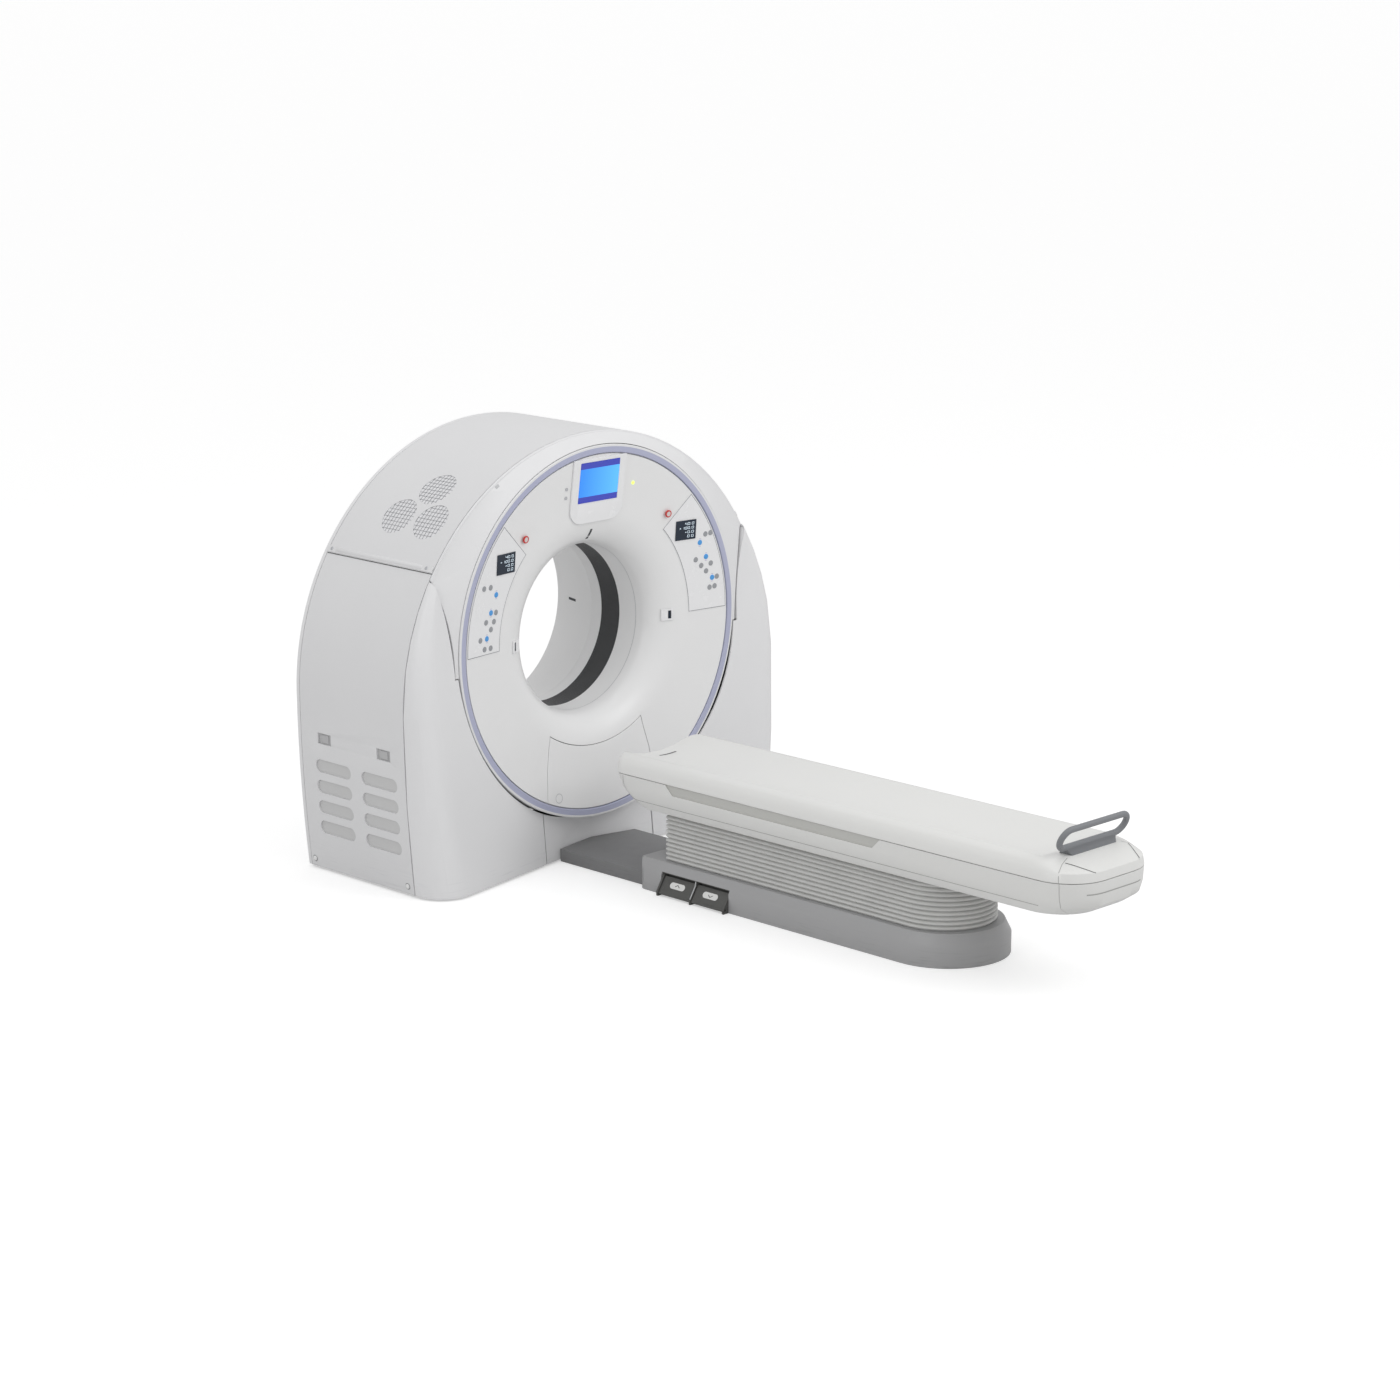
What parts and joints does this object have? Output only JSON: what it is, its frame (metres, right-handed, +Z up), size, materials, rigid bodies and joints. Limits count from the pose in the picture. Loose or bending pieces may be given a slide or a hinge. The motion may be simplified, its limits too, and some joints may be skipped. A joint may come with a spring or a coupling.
{
  "type": "ct_scanner",
  "caption": "Medical CT scanner: white arch gantry with a wide flared bore, lavender ring and touch panels, and a grey patient couch on a bellows lift",
  "frame": {"origin": "On the floor below the bore axis, at the centre of the gantry's four anchor holes", "axes": "Right-handed. Z is up. +Y runs along the bore from the couch side to the rear of the gantry. X runs across the machine, and the foot pedals are on -X"},
  "size_m": [2.24, 3.738, 1.9348],
  "materials": {
    "white_shell": "satin",
    "white_gloss": "gloss",
    "couch_shell": "satin",
    "lavender": "satin",
    "grey_plastic": "matte",
    "charcoal": "matte",
    "black_plastic": "matte",
    "base_grey": "satin",
    "bellows_cloth": "matte",
    "screen_glass": "gloss",
    "lamp_lens": "gloss",
    "red_plastic": "gloss",
    "dark_steel": "satin",
    "bare_steel": "brushed",
    "alloy": "machined",
    "winding": "satin"
  },
  "bodies": {
    "gantry": {"gantry_base": "dark_steel", "cover_frame": "dark_steel", "stator_ring": "dark_steel", "bearing_outer": "bare_steel", "drive_stator": "winding", "brush_block": "black_plastic", "top_cover": "white_shell", "side_cover_left": "white_shell", "side_cover_right": "white_shell", "vent_filters": "grey_plastic", "cover_latches": "grey_plastic", "top_grilles": "grey_plastic", "cover_screws": "bare_steel", "front_bezel": "white_shell", "skirt_left": "white_shell", "skirt_right": "white_shell", "skirt_centre": "white_shell", "rear_cover": "white_shell", "rear_funnel": "white_shell", "drum_rim": "white_shell", "accent_ring": "lavender", "front_dish": "white_shell", "dish_flap": "white_shell", "bore_liner_front": "white_shell", "bore_liner_rear": "white_shell", "scan_window": "black_plastic", "panel_left": "white_gloss", "panel_right": "white_gloss", "mini_display_left": "screen_glass", "mini_display_right": "screen_glass", "display_housing": "white_gloss", "display_screen": "screen_glass", "status_lamps": "lamp_lens", "light_pods": "white_gloss", "laser_windows": "screen_glass", "bridge_plate": "base_grey", "base_cover": "base_grey", "base_frame": "dark_steel", "lift_gearbox": "dark_steel", "pedal_housing": "charcoal", "bellows": "bellows_cloth"},
    "rotor": {"rotor_plate": "alloy", "slip_ring": "winding", "xray_tube": "alloy", "collimator": "dark_steel", "detector": "dark_steel", "hv_generator": "alloy", "balance_weight": "dark_steel"},
    "stop_left": {"stop_button_left": "red_plastic"},
    "stop_right": {"stop_button_right": "red_plastic"},
    "up_pedal": {"pedal_up": "charcoal"},
    "down_pedal": {"pedal_down": "charcoal"},
    "arm_front": {"lift_arm_front": "dark_steel"},
    "arm_rear": {"lift_arm_rear": "dark_steel"},
    "flange": {"bellows_flange": "dark_steel"},
    "couch": {"couch_frame": "alloy", "couch_body": "couch_shell", "couch_end_cap": "couch_shell"},
    "table": {"tabletop": "couch_shell", "foot_handle": "grey_plastic"}
  },
  "joints": [
    {"name": "rotor_spin", "type": "hinge", "parent": "gantry", "child": "rotor", "pos_m": [0, 0, 1.03], "axis": [0, 1, 0], "continuous": true},
    {"name": "lift", "type": "hinge", "parent": "gantry", "child": "arm_front", "pos_m": [0, -1.15, 0.075], "axis": [-1, 0, 0], "range_deg": [0, 44]},
    {"name": "lift_rear", "type": "hinge", "parent": "gantry", "child": "arm_rear", "pos_m": [0, -1.75, 0.075], "axis": [-1, 0, 0], "range_deg": [0, 44]},
    {"name": "couch_level", "type": "hinge", "parent": "arm_front", "child": "couch", "pos_m": [0, -1.7164, 0.32718], "axis": [-1, 0, 0], "range_deg": [-44, 0]},
    {"name": "flange_rise", "type": "slide", "parent": "gantry", "child": "flange", "axis": [0, 0.7193, 0.6947], "range_m": [0, 0.4646], "deforming": ["bellows"]},
    {"name": "table_slide", "type": "slide", "parent": "couch", "child": "table", "axis": [0, 1, 0], "range_m": [0, 0.36]},
    {"name": "stop_left_press", "type": "slide", "parent": "gantry", "child": "stop_left", "axis": [-0.0936, 0.9904, 0.1021], "range_m": [0, 0.004], "stiffness_N_per_m": 800},
    {"name": "stop_right_press", "type": "slide", "parent": "gantry", "child": "stop_right", "axis": [0.0936, 0.9904, 0.1021], "range_m": [0, 0.004], "stiffness_N_per_m": 800},
    {"name": "pedal_up_press", "type": "hinge", "parent": "gantry", "child": "up_pedal", "pos_m": [-0.297, -1.059, 0.016], "axis": [0, 1, 0], "range_deg": [0, 6], "stiffness_Nm_per_rad": 20},
    {"name": "pedal_down_press", "type": "hinge", "parent": "gantry", "child": "down_pedal", "pos_m": [-0.297, -1.259, 0.016], "axis": [0, 1, 0], "range_deg": [0, 6], "stiffness_Nm_per_rad": 20}
  ],
  "couplings": [
    {"joint": "lift_rear", "follows": "lift", "ratio": 1},
    {"joint": "couch_level", "follows": "lift", "ratio": -1},
    {"joint": "flange_rise", "follows": "lift", "m_per_rad": 0.60488}
  ]
}
